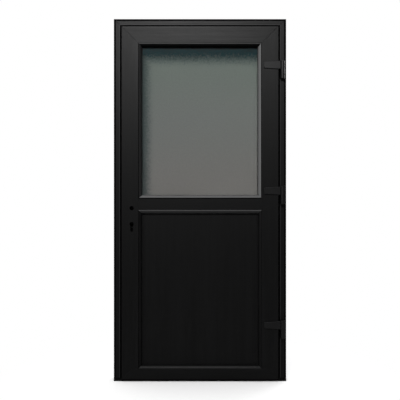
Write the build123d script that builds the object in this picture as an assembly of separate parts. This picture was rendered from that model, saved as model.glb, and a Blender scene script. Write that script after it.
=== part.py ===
from build123d import *
from math import sqrt
import os

os.makedirs("parts", exist_ok=True)

# A glazed plastic back door in its frame, in millimetres.
# X runs right, the side with the hinges and beads faces -Y, and Z runs up.
# The origin lies under the middle of the threshold.
# Sections are drawn with x across the profile, inwards from its outer edge, and y as depth.

# Overall size
door_width = 1000.0
door_height = 2100.0

# Outer frame section
frame_depth = 70.0
frame_wall = 2.8
frame_web = 2.2
shoulder_width = 11.0
shoulder_step = 6.0
frame_face = 25.0
slope_width = 10.0
slope_drop = 4.0
frame_leg = 20.0
chamber_back_gap = 27.0
chamber_front_extra = 0.7
slope_chamber_step = 2.0
wall_groove_width = 11.0
wall_groove_depth = 3.0
wall_groove_front = 14.0
wall_groove_rear = 17.0

# Threshold
threshold_height = 20.0
threshold_wall = 2.5
threshold_step = 10.0
threshold_rib_gap = 8.0
threshold_bevel = 1.5
threshold_ease = 1.0
threshold_screw_step = 9.0

# Sash section
sash_depth = 70.0
sash_proud = 18.0
sash_wall = 2.8
sash_web = 2.0
sash_overlap = 8.0
hardware_gap = 12.0
seal_gap = 3.5
stile_face = 98.0
bottom_face = 62.0
transom_face = 66.0
transom_middle = 1025.0
sash_bottom = 14.0
glazing_leg = 20.0
leg_thickness = 12.0
front_chamber = 10.5
edge_round = 2.0
bead_slot_width = 3.5
bead_slot_depth = 4.5
bead_slot_back = 30.5
weld_groove_width = 2.4
weld_groove_depth = 0.5
flange_groove_edge = 0.4
flange_groove_width = 2.8

# Reinforcement
steel_thickness = 2.0
steel_clearance = 0.3
steel_setback = 62.0

# Glazing and infill panel
unit_thickness = 24.0
pane_thickness = 4.0
edge_clearance = 5.0
glass_seal = 3.0
spacer_height = 7.0
seal_inset = 5.0
spacer_wall = 0.8
panel_skin = 2.0
block_length = 90.0
block_inset = 110.0

# Glazing beads
bead_width = 20.0
bead_recess = 0.9
bead_lip = 3.2
bead_joint = 0.4
bead_wall = 1.6
bead_nose = 4.5
bead_ease = 0.9
bead_step_drop = 1.3
bead_roll_across = 0.74
bead_roll_deep = 0.33
bead_wall_extra = 1.6
foot_clearance = 0.15

# Seals
seal_clearance = 0.3
seal_width = 6.5
seal_root = 2.6
seal_lip = 0.7
seal_edge = 2.0
seal_fit = 0.1
brush_width = 6.0
brush_setback = 6.0

# Hardware groove, faceplate and drive rods
groove_middle = -10.0
plate_width = 16.0
plate_thickness = 3.0
plate_bottom = 160.0
plate_top_gap = 200.0
plate_screw_end = 25.0
plate_screw_by_case = 14.0
plate_screw_below_case = 70.0
plate_screw_above_case = 250.0
plate_screw_by_box = 60.0
rod_gap = 3.0
rod_slot_room = 0.6
rod_slot_end = 4.0
channel_room = 1.2
rod_width = 10.0
rod_thickness = 2.8
slide_clearance = 0.2

# Lock
backset = 40.0
spindle_height = 1003.0
lock_centres = 92.0
case_thickness = 15.0
case_above = 50.0
case_below = 45.0
case_behind = 17.0
case_wall = 1.5
hub_radius = 10.0
hub_bearing = 0.05
spindle_square = 8.0
spindle_hole_radius = 11.0
latch_rise = 22.0
latch_height = 26.0
latch_thickness = 11.6
latch_length = 27.0
bolt_drop = 48.0
bolt_height = 32.0
bolt_length = 34.0
bolt_travel = 20.0
bolt_flush = 0.4
bolt_ease = 0.8
latch_lip = 2.0
latch_tail_gap = 6.0
latch_tail_thinner = 3.0
latch_tail_step = 4.0
latch_tail_end = 1.0
follower_arm_half = 3.0
follower_arm_rise = 4.0
square_clearance = 0.1
bolt_thinner = 0.6
key_round_radius = 10.5
key_slot_width = 13.0
key_slot_drop = 37.0
cylinder_radius = 8.7
cylinder_slot = 10.6
cylinder_drop = 24.8

# Hooks
upper_hook_gap = 360.0
lower_hook_height = 300.0
hook_reach = 37.0
hook_arm = 12.0
hook_claw = 13.0
hook_claw_height = 10.0
hook_thickness = 7.0
hook_pivot_depth = 22.0
hook_pivot_radius = 3.0
hook_boss_radius = 8.0
hook_box_half = 48.0
hook_box_behind = 18.0
claw_slope = 2.0
claw_nose = 2.5
claw_ease = 3.0
heel_ease = 4.0

# Keeps on the lock jamb
keep_thickness = 8.0
keep_width = 20.0
keep_margin = 26.0
pocket_clearance = 1.6
keep_corner = 3.0
keep_screw_end = 10.0

# Hinges
hinge_height = 98.0
flag_height = 47.0
top_hinge_gap = 297.0
middle_hinge_share = 0.51333
bottom_hinge_height = 303.0
barrel_radius = 12.0
barrel_stand = 20.0
base_thickness = 4.0
pin_radius = 5.0
pin_bearing = 0.05
bush_wall = 2.0
bush_flange = 1.0
flag_reach = 107.5
flag_tip_height = 36.0
cover_thickness = 7.0
cover_wall = 1.4
cover_fit = 0.3
leaf_thickness = 3.0
spigot_radius = 5.0
spigot_length = 26.0
spigot_inset = 17.0
spigot_clearance = 0.2
cap_height = 3.0
cap_plug = 3.0
cap_ease = 0.6
flag_corner = 3.0
cover_corner = 5.0
cover_ease = 1.6
press_clearance = 0.02

# Screws and fixing holes
screw_radius = 2.0
screw_head_radius = 3.9
screw_head_height = 2.2
screw_clearance = 0.15
plate_screw_length = 14.0
keep_screw_length = 26.0
flag_screw_length = 24.0
flag_screw_edge = 7.0
flag_screw_end = 15.0
flag_screw_rise = 10.0
threshold_screw_length = 45.0
fixing_radius = 4.0
fixing_count = 4
fixing_end = 210.0
fixing_depth_place = -8.0

# Connectors
connector_length = 38.0
connector_gap = 2.0
transom_fit = 0.1

# Places that follow from the sizes above
frame_front = -frame_depth / 2
frame_back = frame_depth / 2
overlap_plane = frame_front + slope_drop
flange_back = overlap_plane - seal_gap
sash_front = frame_front - sash_proud
sash_back = sash_front + sash_depth
stop_front = sash_back + seal_gap
slope_end = shoulder_width + frame_face + slope_width
frame_body = slope_end + sash_overlap
plate_top = door_height - plate_top_gap
upper_hook_height = door_height - upper_hook_gap
rod_travel = bolt_travel
hinge_centres = (door_height - top_hinge_gap, door_height * middle_hinge_share, bottom_hinge_height)
fixing_spacing = (door_height - 2 * fixing_end) / (fixing_count - 1)
flange_reach = sash_overlap + hardware_gap
sash_half = door_width / 2 - slope_end
sash_top = door_height - slope_end
leg_front = sash_back - leg_thickness
unit_back = leg_front - glass_seal
unit_front = unit_back - unit_thickness
bead_back = unit_front - glass_seal
bead_front = sash_front + bead_recess
slot_back = leg_front - bead_slot_back - glass_seal
slot_front = slot_back - bead_slot_width
rebate_half = sash_half - stile_face
upper_field = (transom_middle + transom_face / 2, sash_top - stile_face)
lower_field = (sash_bottom + bottom_face, transom_middle - transom_face / 2)
groove_half = plate_width / 2 + slide_clearance
channel_half = rod_width / 2 + channel_room
plate_back = flange_reach + plate_thickness
channel_floor = plate_back + rod_thickness + 2 * slide_clearance
main_chamber_low = channel_floor + sash_wall
case_front = channel_floor + slide_clearance
spindle_depth = flange_reach + backset
cylinder_height = spindle_height - lock_centres
latch_middle = spindle_height + latch_rise
bolt_middle = spindle_height - bolt_drop
lock_edge = -sash_half
hinge_inset = shoulder_width + frame_face / 2
hinge_x = door_width / 2 - hinge_inset
hinge_y = frame_front - barrel_stand
hook_x = lock_edge + flange_reach + hook_pivot_depth
keep_x = -door_width / 2 + frame_body


def block(x0, x1, y0, y1, z0, z1):
    # A box between two corners.
    middle = ((x0 + x1) / 2, (y0 + y1) / 2, (z0 + z1) / 2)
    return Pos(*middle) * Box(abs(x1 - x0), abs(y1 - y0), abs(z1 - z0))


def area(points):
    # A closed outline, always turned the same way round.
    twice = sum(a[0] * b[1] - b[0] * a[1] for a, b in zip(points, points[1:] + points[:1]))
    return Polygon(*(points if twice > 0 else points[::-1]), align=None)


def window(x0, x1, y0, y1):
    return area([(x0, y0), (x1, y0), (x1, y1), (x0, y1)])


def rounded(sketch, corners, radius):
    # Rounds the named corners of a section.
    near = [v for v in sketch.vertices() if any(abs(v.X - x) + abs(v.Y - y) < 0.01 for x, y in corners)]
    return fillet(near, radius) if near else sketch


def rod_along_y(x, z, radius, y0, y1):
    # A round bar across the depth of the door.
    return Pos(x, (y0 + y1) / 2, z) * Rot(90, 0, 0) * Cylinder(radius, abs(y1 - y0))


def rod_along_x(y, z, radius, x0, x1):
    return Pos((x0 + x1) / 2, y, z) * Rot(0, 90, 0) * Cylinder(radius, abs(x1 - x0))


def rod_along_z(x, y, radius, z0, z1):
    return Pos(x, y, (z0 + z1) / 2) * Cylinder(radius, abs(z1 - z0))


def cross_cut(points, reach=300.0):
    # A prism across the whole depth, drawn with x across the profile and y along the bar.
    plane = Plane(origin=(0, reach, 0), x_dir=(1, 0, 0), z_dir=(0, -1, 0))
    return extrude(plane * area(points), amount=2 * reach)


def bar(section, length, low, high, start=1.0, end=1.0):
    # A length of profile from one end to the other: 1 mitres an end, 0 leaves it square.
    first = min(low * start, 0.0)
    last = max(length - low * end, length)
    solid = extrude(Pos(0, 0, first) * section, amount=last - first)
    if start or end:
        solid = solid & cross_cut(
            [(low, low * start), (high, high * start), (high, length - high * end), (low, length - low * end)]
        )
    return solid


def side_planes(half, bottom, top):
    # The four sides of an upright rectangle: the profile's x looks inwards and its y looks back.
    return {
        "left": Plane(origin=(-half, 0, bottom), x_dir=(1, 0, 0), z_dir=(0, 0, 1)),
        "right": Plane(origin=(half, 0, top), x_dir=(-1, 0, 0), z_dir=(0, 0, -1)),
        "top": Plane(origin=(-half, 0, top), x_dir=(0, 0, -1), z_dir=(1, 0, 0)),
        "bottom": Plane(origin=(half, 0, bottom), x_dir=(0, 0, 1), z_dir=(-1, 0, 0)),
    }


def placed(plane, solid):
    return plane.location * solid


def ring(section, half, bottom, top, low, high):
    # Four mitred lengths welded into one frame.
    planes = side_planes(half, bottom, top)
    upright = bar(section, top - bottom, low, high)
    level = bar(section, 2 * half, low, high)
    solid = placed(planes["left"], upright) + placed(planes["right"], upright)
    return solid + placed(planes["top"], level) + placed(planes["bottom"], level)


def screw(length):
    # A countersunk screw that points up, with the top of its head at the origin's height.
    head = Pos(0, 0, -screw_head_height / 2) * Cone(screw_radius, screw_head_radius, screw_head_height)
    shank = Pos(0, 0, -(screw_head_height + length) / 2) * Cylinder(screw_radius, length - screw_head_height)
    return head + shank


def screw_hole(length):
    # The same form with a little room around it.
    room = screw_clearance
    head = Pos(0, 0, -screw_head_height / 2) * Cone(
        screw_radius + room, screw_head_radius + room, screw_head_height
    )
    mouth = Pos(0, 0, 1) * Cylinder(screw_head_radius + room, 2)
    shank = Pos(0, 0, -(screw_head_height + length + 1) / 2) * Cylinder(
        screw_radius + room, length + 1 - screw_head_height
    )
    return head + mouth + shank


def key_shape(round_radius, slot_width, drop):
    # A round hole with a slot that drops from it, drawn with y up.
    slot = Pos(0, -(drop - slot_width / 2) / 2) * Rectangle(slot_width, drop - slot_width / 2)
    return Circle(round_radius) + slot + Pos(0, -(drop - slot_width / 2)) * Circle(slot_width / 2)


def along_y(sketch, x, z, y0, y1):
    # Pushes a shape drawn in the door's own plane through its depth.
    plane = Plane(origin=(x, y1, z), x_dir=(1, 0, 0), z_dir=(0, -1, 0))
    return extrude(plane * sketch, amount=y1 - y0)


# Outer frame


def frame_section():
    outline = area(
        [
            (0, frame_front + shoulder_step),
            (shoulder_width, frame_front + shoulder_step),
            (shoulder_width, frame_front),
            (shoulder_width + frame_face, frame_front),
            (slope_end, overlap_plane),
            (frame_body, overlap_plane),
            (frame_body, stop_front),
            (frame_body + frame_leg, stop_front),
            (frame_body + frame_leg, frame_back),
            (0, frame_back),
        ]
    )
    outline = rounded(
        outline,
        [(shoulder_width, frame_front), (shoulder_width + frame_face, frame_front)],
        edge_round,
    )
    outline = rounded(
        outline,
        [(frame_body + frame_leg, stop_front), (frame_body + frame_leg, frame_back)],
        edge_round,
    )
    inner = frame_body - frame_wall
    skin = frame_wall + wall_groove_depth
    partition = shoulder_width + frame_wall
    main_back = frame_back - chamber_back_gap
    main_front = frame_front + frame_wall + chamber_front_extra
    outline -= area(
        [
            (partition, main_front),
            (shoulder_width + frame_face - frame_wall, main_front),
            (shoulder_width + frame_face + slope_chamber_step, overlap_plane + frame_wall),
            (inner, overlap_plane + frame_wall),
            (inner, main_back),
            (partition, main_back),
        ]
    )
    outline -= window(skin, partition - frame_web, frame_front + shoulder_step + frame_wall, main_back)
    outline -= window(skin, inner, main_back + frame_web, stop_front + frame_wall - frame_web)
    leg_end = frame_body + frame_leg - frame_wall
    outline -= window(skin, leg_end, stop_front + frame_wall, frame_back - frame_wall)
    for middle in (frame_front + wall_groove_front, frame_back - wall_groove_rear):
        outline -= window(
            0, wall_groove_depth, middle - wall_groove_width / 2, middle + wall_groove_width / 2
        )
    return outline


def frame_chamber():
    # The room for the steel, as edges of the section.
    return (
        shoulder_width + frame_wall,
        frame_body - frame_wall,
        overlap_plane + frame_wall,
        frame_back - chamber_back_gap,
    )


def lock_pockets():
    # Where the bolts and hooks reach past the keeps into the lock jamb.
    room = pocket_clearance
    bolt_end = lock_edge + flange_reach + bolt_flush - bolt_travel
    deep = min(bolt_end, hook_x - hook_radius()) - 2 * room
    half = bolt_thickness() / 2 + room
    y0, y1 = groove_middle - half, groove_middle + half
    pockets = block(
        deep, keep_x + 1, y0, y1, bolt_middle - bolt_height / 2 - room, bolt_middle + bolt_height / 2 + room
    )
    for z in (upper_hook_height, lower_hook_height):
        pockets += block(deep, keep_x + 1, y0, y1, z - hook_sweep(keep_x) - room, z + hook_claw + room)
    return pockets


def hook_radius():
    return sqrt(hook_reach**2 + hook_claw**2)


def hook_sweep(x):
    # How far below its pivot the turning hook still reaches past a wall at x.
    away = hook_x - x
    return sqrt(max(hook_radius() ** 2 - away**2, 0.0))


def fixing_heights():
    return [fixing_end + fixing_spacing * i for i in range(fixing_count)]


def fixing_holes():
    holes = None
    for z in fixing_heights():
        hole = rod_along_x(fixing_depth_place, z, fixing_radius, -door_width / 2 - 1, door_width / 2 + 1)
        holes = hole if holes is None else holes + hole
    return holes


def spigot_places():
    return [z + way * (hinge_height / 2 - spigot_inset) for z in hinge_centres for way in (-1, 1)]


def hinge_spigot_holes():
    holes = None
    for z in spigot_places():
        hole = rod_along_y(
            hinge_x, z, spigot_radius + spigot_clearance, frame_front - 1, frame_front + spigot_length + 1
        )
        holes = hole if holes is None else holes + hole
    return holes


def keep_spans():
    spans = {
        "keep_main": (
            bolt_middle - bolt_height / 2 - keep_margin,
            latch_middle + latch_height / 2 + keep_margin,
        )
    }
    for name, z in (("keep_upper", upper_hook_height), ("keep_lower", lower_hook_height)):
        spans[name] = (z - hook_sweep(keep_x + keep_thickness) - keep_margin, z + hook_claw + keep_margin)
    return spans


def keep_screw_heights():
    return [z for low, high in keep_spans().values() for z in (low + keep_screw_end, high - keep_screw_end)]


def at_keep(shape, z):
    # Turns a screw form so that it enters the jamb from the keep's face.
    return Pos(keep_x + keep_thickness, groove_middle, z) * Rot(0, 90, 0) * shape


def keep_screw_cuts():
    cuts = None
    for z in keep_screw_heights():
        cut = at_keep(screw_hole(keep_screw_length), z)
        cuts = cut if cuts is None else cuts + cut
    return cuts


def outer_frame():
    # Two jambs and a head, welded along their mitres.
    section = frame_section()
    high = frame_body + frame_leg + 1
    planes = side_planes(door_width / 2, threshold_height, door_height)
    tall = door_height - threshold_height
    left = placed(planes["left"], bar(section, tall, 0, high, start=0.0)) - fixing_holes()
    right = placed(planes["right"], bar(section, tall, 0, high, end=0.0)) - fixing_holes()
    head = placed(planes["top"], bar(section, door_width, 0, high))
    left = left - lock_pockets() - keep_screw_cuts()
    right = right - hinge_spigot_holes()
    welds = frame_weld_grooves()
    return [left - welds, right - welds, head - welds]


def weld_groove(x0, z0, x1, z1, face):
    # A shallow vee along a corner weld, on a face that looks towards -Y.
    length = sqrt((x1 - x0) ** 2 + (z1 - z0) ** 2)
    along = ((x1 - x0) / length, 0, (z1 - z0) / length)
    plane = Plane(origin=(x0, face, z0), x_dir=(0, -1, 0), z_dir=along)
    half = weld_groove_width / 2
    vee = area([(-weld_groove_depth, 0), (0.5, half * 1.5), (0.5, -half * 1.5)])
    return extrude(plane * vee, amount=length)


def frame_weld_grooves():
    cuts = None
    low, high = shoulder_width - 1, shoulder_width + frame_face
    for way in (-1, 1):
        corner = way * door_width / 2
        cut = weld_groove(
            corner - way * low, door_height - low, corner - way * high, door_height - high, frame_front
        )
        cuts = cut if cuts is None else cuts + cut
    return cuts


def threshold():
    wall = threshold_wall
    outline = area(
        [
            (frame_front, 0),
            (frame_front, threshold_step - threshold_bevel),
            (frame_front + threshold_bevel, threshold_step),
            (overlap_plane, threshold_step),
            (overlap_plane, threshold_height - threshold_ease),
            (overlap_plane + threshold_ease, threshold_height),
            (frame_back - threshold_ease, threshold_height),
            (frame_back, threshold_height - threshold_ease),
            (frame_back, 0),
        ]
    )
    inner_high = threshold_height - wall
    rib = threshold_rib_gap / 2
    outline -= window(overlap_plane + wall, -rib - wall, wall, inner_high)
    outline -= window(-rib, rib, wall, inner_high)
    outline -= window(rib + wall, frame_back - wall, wall, inner_high)
    plane = Plane(origin=(-door_width / 2, 0, 0), x_dir=(0, 1, 0), z_dir=(1, 0, 0))
    solid = extrude(plane * outline, amount=door_width)
    for x, y in threshold_screw_places():
        solid -= Pos(x, y, 0) * Rot(180, 0, 0) * screw_hole(threshold_screw_length)
    return solid


def threshold_screw_places():
    u0, u1, y0, y1 = frame_chamber()
    middle = (y0 + y1) / 2
    x = door_width / 2 - (u0 + u1) / 2
    return [(way * x, middle + side * threshold_screw_step) for way in (-1, 1) for side in (-1, 1)]


def threshold_screws():
    return [
        Pos(x, y, 0) * Rot(180, 0, 0) * screw(threshold_screw_length) for x, y in threshold_screw_places()
    ]


def jamb_connectors():
    u0, u1, y0, y1 = frame_chamber()
    gap = steel_clearance
    solids = []
    for way in (-1, 1):
        x0, x1 = way * (door_width / 2 - u0 - gap), way * (door_width / 2 - u1 + gap)
        solid = block(x0, x1, y0 + gap, y1 - gap, threshold_height, threshold_height + connector_length)
        for x, y in threshold_screw_places():
            if x * way > 0:
                bore = screw_radius + press_clearance
                solid -= rod_along_z(x, y, bore, threshold_height - 1, threshold_screw_length + 1)
        solids.append(solid)
    return solids


def tube(x0, x1, y0, y1, length):
    outer = window(x0, x1, y0, y1)
    t = steel_thickness
    return extrude(outer - window(x0 + t, x1 - t, y0 + t, y1 - t), amount=length)


def frame_reinforcement():
    u0, u1, y0, y1 = frame_chamber()
    gap = steel_clearance
    size = (u0 + gap, u1 - gap, y0 + gap, y1 - gap)
    foot = threshold_height + connector_length + gap
    planes = side_planes(door_width / 2, foot, door_height - steel_setback)
    tall = door_height - steel_setback - foot
    left = placed(planes["left"], tube(*size, tall))
    right = placed(planes["right"], tube(*size, tall))
    head_plane = Plane(
        origin=(-door_width / 2 + steel_setback, 0, door_height), x_dir=(0, 0, -1), z_dir=(1, 0, 0)
    )
    head = placed(head_plane, tube(*size, door_width - 2 * steel_setback))
    left = left - fixing_holes() - lock_pockets() - keep_screw_cuts()
    right = right - fixing_holes() - hinge_spigot_holes()
    return [left, right, head]


def frame_seal():
    inner = frame_body + frame_leg
    section = window(inner - seal_width, inner - edge_round - 0.2, sash_back + seal_clearance, stop_front)
    planes = side_planes(door_width / 2, threshold_height, door_height)
    tall = door_height - threshold_height
    low, high = inner - seal_width - 1, inner + 1
    solid = placed(planes["left"], bar(section, tall, low, high, start=0.0))
    solid += placed(planes["right"], bar(section, tall, low, high, end=0.0))
    return solid + placed(planes["top"], bar(section, door_width, low, high))


# Sash


def sash_section(face):
    leg = face + glazing_leg
    mid = groove_middle
    root_high = seal_width + flange_groove_edge
    root_low = root_high - flange_groove_width
    outline = area(
        [
            (0, sash_front),
            (face, sash_front),
            (face, slot_front),
            (face - bead_slot_depth, slot_front),
            (face - bead_slot_depth, slot_back),
            (face, slot_back),
            (face, leg_front),
            (leg, leg_front),
            (leg, sash_back),
            (flange_reach, sash_back),
            (flange_reach, mid + groove_half),
            (plate_back, mid + groove_half),
            (plate_back, mid + channel_half),
            (channel_floor, mid + channel_half),
            (channel_floor, mid - channel_half),
            (plate_back, mid - channel_half),
            (plate_back, mid - groove_half),
            (flange_reach, mid - groove_half),
            (flange_reach, flange_back),
            (root_high, flange_back),
            (root_high, flange_back - seal_root),
            (root_low, flange_back - seal_root),
            (root_low, flange_back),
            (0, flange_back),
        ]
    )
    outline = rounded(outline, [(0, sash_front)], edge_round)
    outline = rounded(outline, [(face, sash_front), (leg, leg_front), (leg, sash_back)], edge_round / 2)
    front_back = sash_front + sash_wall + front_chamber
    outline -= window(sash_wall, face - sash_wall, sash_front + sash_wall, front_back)
    outline -= area(main_chamber(face))
    outline -= window(
        flange_reach + sash_wall, leg - sash_wall, leg_front + sash_wall, sash_back - sash_wall
    )
    return outline


def main_chamber(face):
    # The chamber for the steel wraps around the hardware groove.
    low, high = flange_reach + sash_wall, face - bead_slot_depth - sash_wall
    front = sash_front + sash_wall + front_chamber + sash_web
    back = leg_front + sash_wall - sash_web
    near, far = groove_middle - groove_half - sash_wall, groove_middle + groove_half + sash_wall
    return [
        (low, front),
        (high, front),
        (high, back),
        (low, back),
        (low, far),
        (main_chamber_low, far),
        (main_chamber_low, near),
        (low, near),
    ]


def spindle_hole():
    return rod_along_y(
        lock_edge + spindle_depth, spindle_height, spindle_hole_radius, sash_front - 1, sash_back + 1
    )


def key_hole():
    shape = key_shape(key_round_radius, key_slot_width, key_slot_drop)
    return along_y(shape, lock_edge + spindle_depth, cylinder_height, sash_front - 1, sash_back + 1)


def case_space(room):
    # The lock case's outline, grown by some room.
    half = case_thickness / 2 + room
    return block(
        lock_edge + case_front - room,
        lock_edge + spindle_depth + case_behind + room,
        groove_middle - half,
        groove_middle + half,
        cylinder_height - case_below - room,
        spindle_height + case_above + room,
    )


def hook_box_space(z, room):
    half = case_thickness / 2 + room
    return block(
        lock_edge + case_front - room,
        hook_x + hook_box_behind + room,
        groove_middle - half,
        groove_middle + half,
        z - hook_box_half - room,
        z + hook_box_half + room,
    )


def lock_routing():
    room = steel_clearance
    mouth = block(
        lock_edge + flange_reach,
        lock_edge + case_front + 1,
        groove_middle - case_thickness / 2 - room,
        groove_middle + case_thickness / 2 + room,
        cylinder_height - case_below - room,
        spindle_height + case_above + room,
    )
    routing = case_space(room) + mouth
    for z in (upper_hook_height, lower_hook_height):
        routing += hook_box_space(z, room)
        routing += block(
            lock_edge + flange_reach,
            lock_edge + case_front + 1,
            groove_middle - case_thickness / 2 - room,
            groove_middle + case_thickness / 2 + room,
            z - hook_box_half - room,
            z + hook_box_half + room,
        )
    return routing


def plate_screw_heights():
    return [
        plate_bottom + plate_screw_end,
        lower_hook_height + hook_box_half + plate_screw_by_box,
        cylinder_height - case_below - plate_screw_below_case,
        cylinder_height - case_below - plate_screw_by_case,
        spindle_height + case_above + plate_screw_by_case,
        spindle_height + case_above + plate_screw_above_case,
        upper_hook_height - hook_box_half - plate_screw_by_box,
        plate_top - plate_screw_end,
    ]


def at_plate(shape, z):
    # Turns a screw form so that it enters the leaf from the faceplate's face.
    return Pos(lock_edge + flange_reach, groove_middle, z) * Rot(0, -90, 0) * shape


def plate_screw_cuts():
    cuts = None
    for z in plate_screw_heights():
        cut = at_plate(screw_hole(plate_screw_length), z)
        cuts = cut if cuts is None else cuts + cut
    return cuts


def flag_screw_places():
    # Across the flag and up it, from the hinge's axis and the flag's middle.
    near = -(slope_end - hinge_inset) - main_chamber_low - flag_screw_edge
    far = -flag_reach + flag_screw_end
    return [(x, way * flag_screw_rise) for x in (near, far) for way in (-1, 1)]


def flag_middle(z):
    return z + hinge_height / 2 - flag_height / 2


def at_flag(shape, x, z):
    # Turns a screw form so that it enters the leaf from the flag's face.
    return Pos(hinge_x + x, sash_front - leaf_thickness, z) * Rot(90, 0, 0) * shape


def flag_screw_cuts():
    cuts = None
    for centre in hinge_centres:
        for x, up in flag_screw_places():
            cut = at_flag(screw_hole(flag_screw_length), x, flag_middle(centre) + up)
            cuts = cut if cuts is None else cuts + cut
    return cuts


def sash_frame():
    # Two stiles and two rails, welded along their mitres.
    tall = sash_top - sash_bottom
    wide = 2 * sash_half
    section, low_section = sash_section(stile_face), sash_section(bottom_face)
    high = stile_face + glazing_leg + 1
    upright = extrude(section, amount=tall)
    left_cut = [(0, 0), (bottom_face, bottom_face), (high, bottom_face), (high, tall - high), (0, tall)]
    right_cut = [(x, tall - s) for x, s in left_cut]
    planes = side_planes(sash_half, sash_bottom, sash_top)
    left = placed(planes["left"], upright & cross_cut(left_cut))
    right = placed(planes["right"], upright & cross_cut(right_cut))
    top = placed(planes["top"], bar(section, wide, 0, high))
    low_high = bottom_face + glazing_leg + 1
    clear = stile_face + glazing_leg
    low_cut = [
        (0, 0),
        (bottom_face, bottom_face),
        (bottom_face, clear),
        (low_high, clear),
        (low_high, wide - clear),
        (bottom_face, wide - clear),
        (bottom_face, wide - bottom_face),
        (0, wide),
    ]
    bottom = placed(planes["bottom"], extrude(low_section, amount=wide) & cross_cut(low_cut))
    left = left - lock_routing() - spindle_hole() - key_hole() - plate_screw_cuts()
    right = right - flag_screw_cuts()
    welds = sash_weld_grooves()
    return [left - welds, right - welds, top - welds, bottom - welds]


def sash_weld_grooves():
    cuts = None
    for way in (-1, 1):
        edge, inner = way * sash_half, way * (sash_half - stile_face)
        low_inner = way * (sash_half - bottom_face)
        runs = [
            (edge, sash_top, inner, sash_top - stile_face),
            (edge, sash_bottom, low_inner, sash_bottom + bottom_face),
        ]
        for x0, z0, x1, z1 in runs:
            cut = weld_groove(x0, z0, x1, z1, sash_front)
            cuts = cut if cuts is None else cuts + cut
    return cuts


def steel_size(face):
    gap = steel_clearance
    front = sash_front + sash_wall + front_chamber + sash_web
    back = leg_front + sash_wall - sash_web
    high = face - bead_slot_depth - sash_wall
    return main_chamber_low + gap, high - gap, front + gap, back - gap


def sash_reinforcement():
    size, low_size = steel_size(stile_face), steel_size(bottom_face)
    clear = stile_face + glazing_leg + connector_gap
    foot = bottom_face + glazing_leg + connector_gap
    planes = side_planes(sash_half, sash_bottom + foot, sash_top - clear)
    tall = sash_top - clear - sash_bottom - foot
    left = placed(planes["left"], tube(*size, tall))
    right = placed(planes["right"], tube(*size, tall))
    level = 2 * (sash_half - clear)
    top_plane = Plane(origin=(-sash_half + clear, 0, sash_top), x_dir=(0, 0, -1), z_dir=(1, 0, 0))
    low_plane = Plane(origin=(sash_half - clear, 0, sash_bottom), x_dir=(0, 0, 1), z_dir=(-1, 0, 0))
    top = placed(top_plane, tube(*size, level))
    low = placed(low_plane, tube(*low_size, level))
    left = left - lock_routing() - spindle_hole() - key_hole() - plate_screw_cuts()
    return [left, right - flag_screw_cuts(), top, low]


def sash_seal():
    section = window(seal_edge, seal_width + seal_edge, flange_back, overlap_plane - seal_clearance)
    root_high = seal_width + flange_groove_edge - seal_fit
    root_low = seal_width + flange_groove_edge - flange_groove_width + seal_fit
    section += window(root_low, root_high, flange_back - seal_root + seal_fit, flange_back)
    return ring(section, sash_half, sash_bottom, sash_top, 0, seal_width + 3)


def brush_seal():
    back = sash_back - brush_setback
    half = sash_half - flange_reach - 2.0
    return block(
        -half, half, back - brush_width, back, threshold_height + seal_clearance, sash_bottom + flange_reach
    )


def transom_section():
    half = transom_face / 2
    leg = half + glazing_leg
    inner = half - bead_slot_depth
    right = [
        (half, sash_front),
        (half, slot_front),
        (inner, slot_front),
        (inner, slot_back),
        (half, slot_back),
        (half, leg_front),
        (leg, leg_front),
        (leg, sash_back),
    ]
    left = [(-x, y) for x, y in reversed(right)]
    outline = area(right + left)
    outline = rounded(outline, [(half, sash_front), (-half, sash_front)], edge_round / 2)
    front_back = sash_front + sash_wall + front_chamber
    wall = sash_wall
    outline -= window(-half + wall, half - wall, sash_front + wall, front_back)
    outline -= window(-inner + wall, inner - wall, front_back + sash_web, leg_front + wall - sash_web)
    outline -= window(-leg + wall, leg - wall, leg_front + wall, sash_back - wall)
    return outline


def transom_bar(section, half):
    plane = Plane(origin=(-half, 0, transom_middle), x_dir=(0, 0, -1), z_dir=(1, 0, 0))
    return extrude(plane * section, amount=2 * half)


def transom():
    half = rebate_half - transom_fit
    leg_half = rebate_half - glazing_leg - transom_fit
    solid = transom_bar(transom_section(), half)
    tall = transom_face / 2 + glazing_leg + 1
    for way in (-1, 1):
        solid -= block(
            way * leg_half,
            way * (half + 1),
            leg_front - transom_fit,
            sash_back + 1,
            transom_middle - tall,
            transom_middle + tall,
        )
    return solid


def transom_steel_size():
    inner = transom_face / 2 - bead_slot_depth - sash_wall - steel_clearance
    front = steel_size(stile_face)[2]
    return -inner, inner, front, leg_front - steel_clearance


def transom_reinforcement():
    size = transom_steel_size()
    half = rebate_half - 2.0
    plane = Plane(origin=(-half, 0, transom_middle), x_dir=(0, 0, -1), z_dir=(1, 0, 0))
    return placed(plane, tube(*size, 2 * half))


def transom_connectors():
    low, high, y0, y1 = transom_steel_size()
    gap = steel_thickness + steel_clearance
    solids = []
    for way in (-1, 1):
        solids.append(
            block(
                way * rebate_half,
                way * (rebate_half - connector_length),
                y0 + gap,
                y1 - gap,
                transom_middle + low + gap,
                transom_middle + high - gap,
            )
        )
    return solids


# Glass, panel and beads


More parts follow.
